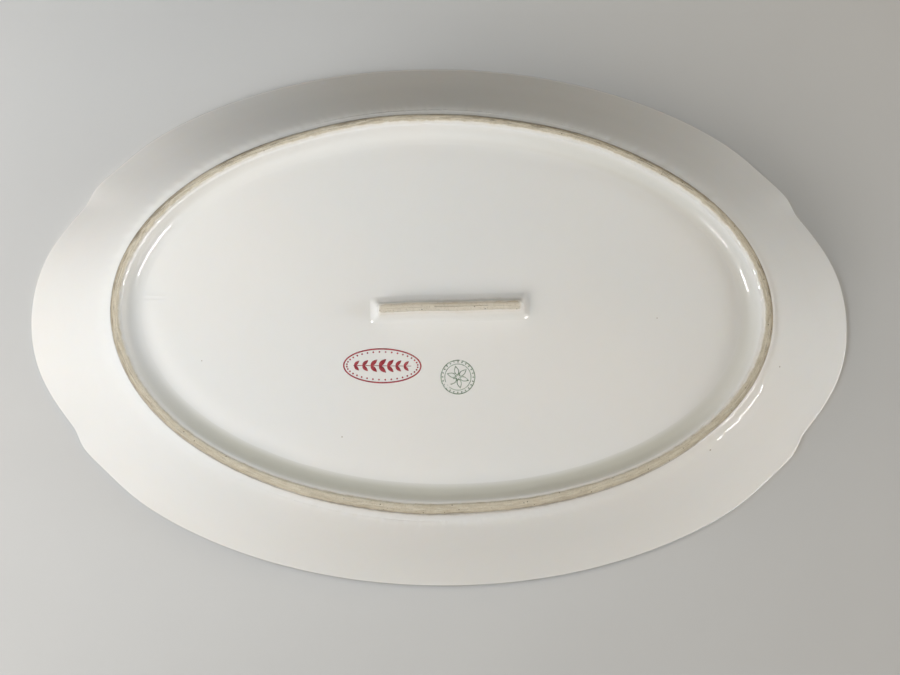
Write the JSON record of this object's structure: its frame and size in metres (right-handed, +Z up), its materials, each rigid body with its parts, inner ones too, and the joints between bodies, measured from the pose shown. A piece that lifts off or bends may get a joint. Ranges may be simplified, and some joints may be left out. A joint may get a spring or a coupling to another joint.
{
  "type": "oval serving platter",
  "caption": "Shallow oval porcelain serving platter with a sloping rim, small ears at its corners, an oval foot ring and a support bar under the base.",
  "frame": {"origin": "middle of the plane that the foot ring stands on, which is the centre of the bottom of the bounding box", "axes": "+Z up out of the well, +X along the platter's length, +Y across it towards the long side that the printed marks are nearer to"},
  "size_m": [0.36, 0.2294, 0.0365],
  "materials": {
    "glazed_porcelain": "clear gloss glaze over white porcelain",
    "unglazed_porcelain": "unglazed, finely grained and stained by use",
    "red_enamel": "printed overglaze enamel, lightly worn",
    "green_enamel": "printed colour sunk in the glaze, faded"
  },
  "bodies": {
    "root": {"platter_body": "glazed_porcelain", "foot_ring": "unglazed_porcelain", "support_bar": "unglazed_porcelain", "red_backstamp": "red_enamel", "green_backstamp": "green_enamel"}
  },
  "joints": []
}
